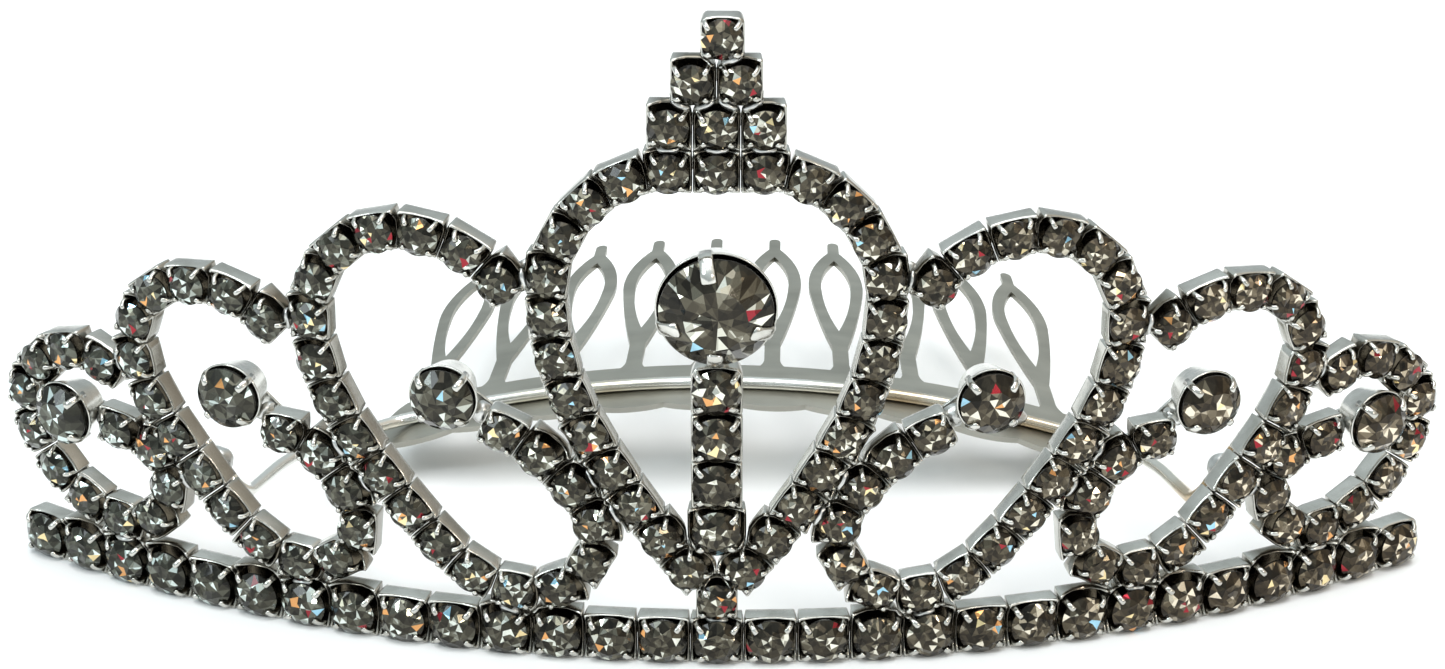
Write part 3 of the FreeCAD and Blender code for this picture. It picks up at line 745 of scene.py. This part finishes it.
def cup(shell, seat, draw):
    half = seat.width / 2
    corners = [half * (JOINED_CORNER if seat.joined[q] or seat.joined[(q + 1) % 4] else CORNER)
               for q in range(4)]
    back = -TABLE_ABOVE_RIM[seat.width] - CUP_DEPTH
    dips = [draw.uniform(*DIP_SPREAD) * (JOINED_DIP if joined else RIM_DIP)
            for joined in seat.joined]
    rings = []
    for inset, height, dip_share, painted_shade in CUP_SECTION:
        taper = BACK_TAPER * half * max(0.0, 1 - height * MM / TAPER_DEPTH)
        inside = inset * MM + taper
        outline = rounded_square([side - inside for side in seat.halves],
                                 [max(corner - inside, LEAST_CORNER) for corner in corners])
        points = []
        greys = []
        for index, (x, y, out_x, out_y, place) in enumerate(outline):
            side = index * 4 // len(outline)
            from_corner = 1 - abs(place)
            dip = dips[side] * dip_share * min(1.0, DIP_STEEPNESS * from_corner)
            held_x, held_y = held_in(seat, x, y, inside)
            points.append(seat.world(held_x, held_y, back + height * MM - dip))
            facing = seat.x_axis * out_x + seat.y_axis * out_y
            # Painted shade on sides that face right, and on joined sides where two cups meet.
            grey = max(painted_shade, RIGHT_SIDE_SHADE * max(0.0, facing.x) * (1.0 - dip_share / 2))
            if seat.joined[side]:
                grey = max(grey, JOINED_SHADE * min(1.0, JOINED_STEEPNESS * from_corner))
            greys.append(grey)
        rings.append(shell.add_points(points, greys))
    shell.loft(rings, smooth_ends=False)


# A claw's cross-section, as parts of its half width and of its thickness.
CLAW_SECTION = [(-1.0, -0.35), (-0.72, 0.42), (0.0, 0.62), (0.72, 0.42), (1.0, -0.35),
                (0.7, -0.5), (-0.7, -0.5)]
CLAW_CLEARANCE = 0.02 * MM
CLAW_SWAY = 0.08
# Painted shade at a claw's root, where it meets its cup or bezel.
CLAW_ROOT_SHADE = 0.25
# The last part of a claw is its bead, and the tip is narrower.
BEAD_FROM = 0.6
TIP_NARROWING = 0.62


def claw(shell, seat, spine, bearing, half_width, thickness, draw, bead=1.0):
    """A bent strip with a rounded tip: spine points are (radius, height), and every size that
    it is given is in millimetres."""
    cosine, sine = math.cos(bearing), math.sin(bearing)
    widest = max(radius for radius, height in spine) * MM
    nudge_x = nudge_y = 0.0
    for wall_x, wall_y, distance in seat.walls:
        for side in (-1, 1):
            x = widest * cosine - side * half_width * MM * sine + nudge_x
            y = widest * sine + side * half_width * MM * cosine + nudge_y
            beyond = x * wall_x + y * wall_y - (distance - CLAW_CLEARANCE)
            if beyond > 0:
                nudge_x -= beyond * wall_x
                nudge_y -= beyond * wall_y
    rings = []
    last = len(spine) - 1
    sway = draw.uniform(-CLAW_SWAY, CLAW_SWAY)
    for index, (radius, height) in enumerate(spine):
        before = spine[max(index - 1, 0)]
        after = spine[min(index + 1, last)]
        run, rise = after[0] - before[0], after[1] - before[1]
        length = math.hypot(run, rise)
        out_r, out_z = rise / length, -run / length
        along = index / last
        scale = bead if along > BEAD_FROM else 1.0
        if index == last:
            scale *= TIP_NARROWING
        points = []
        for across_share, off_share in CLAW_SECTION:
            off = off_share * thickness * scale
            r = (radius + out_r * off) * MM
            z = (height + out_z * off) * MM
            side = (across_share * half_width * scale + sway * along) * MM
            points.append(seat.world(r * cosine - side * sine + nudge_x,
                                     r * sine + side * cosine + nudge_y, z))
        rings.append(shell.add_points(points, CLAW_ROOT_SHADE if index == 0 else 0.0))
    shell.loft(rings, smooth_ends=True)


# A cup's claws, in millimetres: radius, and height above the rim. The first points run up the
# corner of the cup, and the others bend in over the crystal.
CLAW_SPINE = [(2.10, -1.1), (2.12, -0.5), (2.10, 0.0), (2.00, 0.36),
              (1.84, 0.56), (1.66, 0.66), (1.52, 0.70), (1.44, 0.68)]
UPRIGHT_POINTS = 3
CLAW_HALF_WIDTH = 0.25
CLAW_THICKNESS = 0.26
BEARING_DRIFT = 0.05
CLAW_STRETCH = (0.95, 1.04)


def cup_claws(shell, seat, draw):
    growth = seat.width / SMALL_CUP
    rim = -TABLE_ABOVE_RIM[seat.width] / MM
    for quarter in range(4):
        drift = draw.uniform(-BEARING_DRIFT, BEARING_DRIFT)
        bearing = math.pi / 4 + quarter * math.pi / 2 + drift
        stretch = draw.uniform(*CLAW_STRETCH)
        bent = [(radius * growth * (1.0 if k < UPRIGHT_POINTS else stretch), rim + height)
                for k, (radius, height) in enumerate(CLAW_SPINE)]
        claw(shell, seat, bent, bearing, CLAW_HALF_WIDTH * growth, CLAW_THICKNESS, draw)


def chain_cups(chain):
    draw = random.Random("cups " + chain)
    shell = Shell()
    for seat in seats[chain]:
        cup(shell, seat, draw)
        cup_claws(shell, seat, draw)
    node = chain + "_cups"
    return shell.piece(node + "_stamped", node, cup_metal)


# ---------------------------------------------------------------- round settings

BEZEL_POINTS = 64
# How much a setting's radius shrinks towards its foot, for each part of its depth.
SETTING_TAPER = 0.28
SETTING_CLAW_BEAD = 1.05
SETTING_BEARING_DRIFT = 0.04
# In millimetres: how far the girdle's lower edge is above the rim, how thick a claw is, how far
# its tip stays outside the table, and how far its spine is above the crown.
GIRDLE_ABOVE_RIM = 0.3
SETTING_CLAW_THICKNESS = 0.3
TABLE_MARGIN = 0.05
TIP_ABOVE_CROWN = 0.16
ABOVE_GIRDLE = 0.26


def bezel(shell, seat, radius, rim):
    """A conical bezel: rounded foot, thin rolled rim and painted shade inside, in millimetres."""
    depth = SETTING_DEPTH / MM
    back = rim - depth
    narrow = radius - SETTING_TAPER * depth
    # Radius, height, and how much shade is painted on the plating, most inside the bezel.
    section = [(narrow * 0.5, back, 0.4), (narrow - 0.25, back, 0.2),
               (narrow - 0.06, back + 0.1, 0.05), (narrow + 0.02, back + 0.3, 0.0),
               (radius - 0.13, rim - 0.45, 0.0), (radius - 0.02, rim - 0.16, 0.0),
               (radius, rim - 0.07, 0.0), (radius - 0.05, rim, 0.0),
               (radius - 0.16, rim + 0.01, 0.05), (radius - 0.25, rim - 0.06, 0.6),
               (radius - 0.30, rim - 0.35, 1.0), (narrow * 0.6, back + 0.5, 1.0)]
    rings = []
    for reach, height, painted_shade in section:
        points = []
        for k in range(BEZEL_POINTS):
            angle = 2 * math.pi * k / BEZEL_POINTS
            points.append(seat.world(reach * MM * math.cos(angle), reach * MM * math.sin(angle),
                                     height * MM))
        rings.append(shell.add_points(points, painted_shade))
    shell.loft(rings, smooth_ends=True)


def round_setting(node, crystal, diameter, stone, bearings, half_width, reach):
    """A bezel and its claws, at bearings in degrees; each reaches in over the crystal's edge."""
    shell = Shell()
    draw = random.Random("setting " + node)
    seat = single_seat(crystal)
    radius = diameter / 2 / MM
    stone_radius = stone / 2 / MM
    table = TABLE * stone_radius
    crown = CROWN * stone / MM
    rim = -(GIRDLE_ABOVE_RIM + (GIRDLE + CROWN) * stone / MM)
    bezel(shell, seat, radius, rim)
    tip = max(stone_radius - reach, table + TABLE_MARGIN)
    tip_height = -crown * (tip - table) / (stone_radius - table) + TIP_ABOVE_CROWN
    edge_height = -crown + ABOVE_GIRDLE
    # Up the bezel's wall, over the girdle, and in to the tip.
    spine = [(radius - 0.22, rim - 0.8), (radius - 0.17, rim - 0.1),
             (radius - 0.12, -crown - 0.28), (radius - 0.22, -crown - 0.02),
             (stone_radius - 0.1, edge_height),
             ((stone_radius + tip) / 2, (tip_height + edge_height) / 2 + 0.05),
             (tip, tip_height), (tip - 0.14, tip_height - 0.02)]
    for bearing in bearings:
        drift = draw.uniform(-SETTING_BEARING_DRIFT, SETTING_BEARING_DRIFT)
        claw(shell, seat, spine, math.radians(bearing) + drift, half_width,
             SETTING_CLAW_THICKNESS, draw, bead=SETTING_CLAW_BEAD)
    return shell.piece(node + "_turned", node, bezel_metal)


# ---------------------------------------------------------------- links, solder, comb and wire

PLANE_ANGLE = math.radians(0.1)
SHARP_ANGLE = math.radians(35)
LINK_BEVEL = 0.06 * MM
COMB_BEVEL = 0.12 * MM

# How much a lump of solder swells, how finely, and how far apart in the noise lumps are drawn.
SWELL = 0.16
SWELL_WAVES = 1.6
SWELL_SPAN = 9
# The joints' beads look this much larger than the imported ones.
JOINT_GROWTH = 1.25
# Solder between a round setting and the last cup of its chain, its depth below the cup's rim.
WEB_OVERLAP = 0.5 * MM
WEB_DEPTH = 1.05 * MM
WEB_HALF_WIDTH = 1.05 * MM
WEB_HALF_HEIGHT = 0.9 * MM
# Solder between two cups, in front of a joint, its depth below their rims.
FILLET_DEPTH = 0.42 * MM
FILLET_HALF_LENGTH = 0.42 * MM
FILLET_HALF_WIDTH = 1.0 * MM
FILLET_HALF_HEIGHT = 0.5 * MM


def dressed_copy(node, name, material, bevel):
    """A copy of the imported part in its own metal, with its edges rounded."""
    bm = packed_mesh(node, PLANE_ANGLE)
    bmesh.ops.recalc_face_normals(bm, faces=bm.faces)
    mesh = bpy.data.meshes.new(name)
    bm.to_mesh(mesh)
    bm.free()
    mesh.materials.clear()
    mesh.materials.append(material)
    for polygon in mesh.polygons:
        polygon.use_smooth = True
    mesh.set_sharp_from_angle(angle=SHARP_ANGLE)
    obj = bpy.data.objects.new(name, mesh)
    bpy.context.scene.collection.objects.link(obj)
    if bevel:
        rounding = obj.modifiers.new("rounded edges", "BEVEL")
        rounding.width = bevel
        rounding.segments = 2
        rounding.limit_method = "ANGLE"
        rounding.angle_limit = SHARP_ANGLE
    settle(obj, node)
    return obj


def add_blob(shell, centre, half_axes, draw):
    """A lump of solder with a slumped, uneven skin."""
    offset = Vector([draw.uniform(0, SWELL_SPAN) for axis in range(3)])
    bm = bmesh.new()
    bmesh.ops.create_icosphere(bm, subdivisions=3, radius=1.0)
    bm.verts.ensure_lookup_table()
    placed = []
    for vert in bm.verts:
        swell = 1 + SWELL * noise.noise(vert.co * SWELL_WAVES + offset)
        reach = sum((axis * vert.co[k] for k, axis in enumerate(half_axes)), Vector())
        placed.append(centre + reach * swell)
    indices = shell.add_points(placed)
    for face in bm.faces:
        shell.add_face([indices[vert.index] for vert in face.verts], True)
    bm.free()


def add_web(shell, chain, crystal, radius, draw):
    """Solder in the gap between a round setting and the last cup of its chain."""
    centre = crystal_places(crystal)[0][0]
    seat = min(seats[chain], key=lambda one: (one.centre - centre).length)
    step = seat.in_plane(centre)
    heading = step.normalized()
    turn = max(abs(heading.dot(seat.x_axis)), abs(heading.dot(seat.y_axis)))
    cup_edge = seat.width / 2 / turn
    setting_edge = step.length - radius
    half_length = (setting_edge - cup_edge) / 2 + WEB_OVERLAP
    place = (seat.centre + heading * (cup_edge + setting_edge) / 2
             - seat.normal * (TABLE_ABOVE_RIM[seat.width] + WEB_DEPTH))
    half_axes = (heading * half_length, seat.normal.cross(heading) * WEB_HALF_WIDTH,
                 seat.normal * WEB_HALF_HEIGHT)
    add_blob(shell, place, half_axes, draw)


def add_fillet(shell, joint, draw):
    """Solder that has run up between two cups, in front of a joint."""
    first, second = sorted(every_seat, key=lambda seat: (seat.centre - joint).length)[:2]
    centre = (first.centre + second.centre) / 2
    normal = (first.normal + second.normal).normalized()
    heading = (second.centre - first.centre).normalized()
    place = centre - normal * (TABLE_ABOVE_RIM[first.width] + FILLET_DEPTH)
    half_axes = (heading * FILLET_HALF_LENGTH, normal.cross(heading) * FILLET_HALF_WIDTH,
                 normal * FILLET_HALF_HEIGHT)
    add_blob(shell, place, half_axes, draw)


def add_fillets_and_webs(shell):
    draw = random.Random("webs")
    for faces in islands("solder_joints"):
        add_fillet(shell, mean(corners_of(faces)), draw)
    for chain, crystal, radius in setting_seats:
        add_web(shell, chain, crystal, radius, draw)


def solder_blobs(node, name, growth, draw, webs=False):
    """Frozen beads: each solid of the node becomes a lump of its size."""
    shell = Shell()
    for faces in islands(node):
        points = corners_of(faces)
        low = Vector([min(point[k] for point in points) for k in range(3)])
        high = Vector([max(point[k] for point in points) for k in range(3)])
        half = (high - low) / 2 * growth
        half_axes = (Vector((half.x, 0, 0)), Vector((0, half.y, 0)), Vector((0, 0, half.z)))
        add_blob(shell, (low + high) / 2, half_axes, draw)
    if webs:
        add_fillets_and_webs(shell)
    return shell.piece(name, node, solder_tin)


# ---------------------------------------------------------------- the tiara

for chain in CHAINS:
    chain_crystals(chain)
    chain_cups(chain)

large_crystal("centre_crystal", CENTRE_STONE, CENTRE_SIDES)
round_setting("centre_crystal_setting", "centre_crystal", CENTRE_SETTING, CENTRE_STONE,
              bearings=(100, 195, 270, 340), half_width=0.72, reach=1.5)
for scroll in SCROLLS:
    large_crystal(scroll + "_end_crystal", SCROLL_STONE, SCROLL_SIDES)
    round_setting(scroll + "_end_setting", scroll + "_end_crystal", SCROLL_SETTING,
                  SCROLL_STONE, bearings=(45, 135, 225, 315), half_width=0.38, reach=0.7)

dressed_copy("chain_links", "chain_links_pressed", link_metal, LINK_BEVEL)
dressed_copy("comb_plate", "comb_plate_stamped", comb_steel, COMB_BEVEL)
dressed_copy("comb_wire", "comb_wire_drawn", wire_steel, 0.0)
solder_draw = random.Random("solder")
solder_blobs("solder_joints", "solder_joints_frozen", JOINT_GROWTH, solder_draw, webs=True)
solder_blobs("wire_foot_solder", "wire_foot_solder_frozen", 1.0, solder_draw)
solder_blobs("comb_solder", "comb_solder_frozen", 1.0, solder_draw)


# ---------------------------------------------------------------- studio

FLOOR_HALF = 6.0
WORLD_STRENGTH = 1.12
LIGHTS_AIM = (0.0, 0.02, 0.03)
CAMERA_PLACE = Vector((0.00465, -0.2730, 0.1676))
CAMERA_AIM = Vector((0.00037, 0.0090, 0.02866))
SENSOR_WIDTH = 36.0
LENS = 87.2
CLIP_START = 0.01


def stage_floor():
    mesh = bpy.data.meshes.new("studio_floor")
    corners = [(-FLOOR_HALF, -FLOOR_HALF, 0), (FLOOR_HALF, -FLOOR_HALF, 0),
               (FLOOR_HALF, FLOOR_HALF, 0), (-FLOOR_HALF, FLOOR_HALF, 0)]
    mesh.from_pydata(corners, [], [(0, 1, 2, 3)])
    material, tree, shader = new_material("white_floor")
    paper = add_noise(tree, 40.0, 2.0)
    colour = add_ramp(tree, paper.outputs["Fac"], [(0.3, (0.90, 0.90, 0.90)),
                                                   (0.7, (0.92, 0.92, 0.92))])
    tree.links.new(colour, shader.inputs["Base Color"])
    shader.inputs["Roughness"].default_value = 1.0
    shader.inputs["Specular IOR Level"].default_value = 0.0
    mesh.materials.append(material)
    floor = bpy.data.objects.new("studio_floor", mesh)
    bpy.context.scene.collection.objects.link(floor)


def soft_light(name, place, size, power, colour=(1, 1, 1)):
    lamp = bpy.data.lights.new(name, "AREA")
    lamp.shape = "RECTANGLE"
    lamp.size, lamp.size_y = size
    lamp.energy = power
    lamp.color = colour
    obj = bpy.data.objects.new(name, lamp)
    obj.location = place
    obj.rotation_mode = "QUATERNION"
    obj.rotation_quaternion = (Vector(LIGHTS_AIM) - Vector(place)).to_track_quat("-Z", "Y")
    bpy.context.scene.collection.objects.link(obj)


def studio_world():
    world = bpy.data.worlds.new("studio")
    world.use_nodes = True
    bpy.context.scene.world = world
    tree = world.node_tree
    background = tree.nodes["Background"]
    coordinates = add_node(tree, "ShaderNodeTexCoord")
    split = add_node(tree, "ShaderNodeSeparateXYZ")
    tree.links.new(coordinates.outputs["Generated"], split.inputs["Vector"])
    height = add_ramp(tree, split.outputs["Z"], [(0.0, (0.50, 0.50, 0.50)),
                                                 (0.45, (0.62, 0.63, 0.62)),
                                                 (1.0, (0.8, 0.8, 0.8))])
    side = add_ramp(tree, split.outputs["X"], [(0.25, (0.90, 1.0, 1.04)),
                                               (0.75, (1.06, 0.98, 0.87))])
    tinted = add_mix(tree, 1.0, height, side, "MULTIPLY")
    tree.links.new(tinted, background.inputs["Color"])
    background.inputs["Strength"].default_value = WORLD_STRENGTH


stage_floor()
studio_world()
soft_light("overhead_softbox", (0.05, -0.10, 1.10), size=(1.1, 0.9), power=9.0)
soft_light("left_key", (-0.75, -0.55, 0.75), size=(0.25, 0.35), power=4.5,
           colour=(0.86, 0.96, 1.0))
soft_light("right_spark", (0.60, -0.75, 0.55), size=(0.10, 0.10), power=1.8,
           colour=(1.0, 0.89, 0.76))

camera = bpy.data.objects.new("camera", bpy.data.cameras.new("camera"))
camera.location = CAMERA_PLACE
camera.rotation_mode = "QUATERNION"
camera.rotation_quaternion = (CAMERA_AIM - CAMERA_PLACE).to_track_quat("-Z", "Y")
camera.data.sensor_width = SENSOR_WIDTH
camera.data.lens = LENS
camera.data.clip_start = CLIP_START
bpy.context.scene.collection.objects.link(camera)
bpy.context.scene.camera = camera
bpy.context.scene.view_settings.view_transform = "Standard"
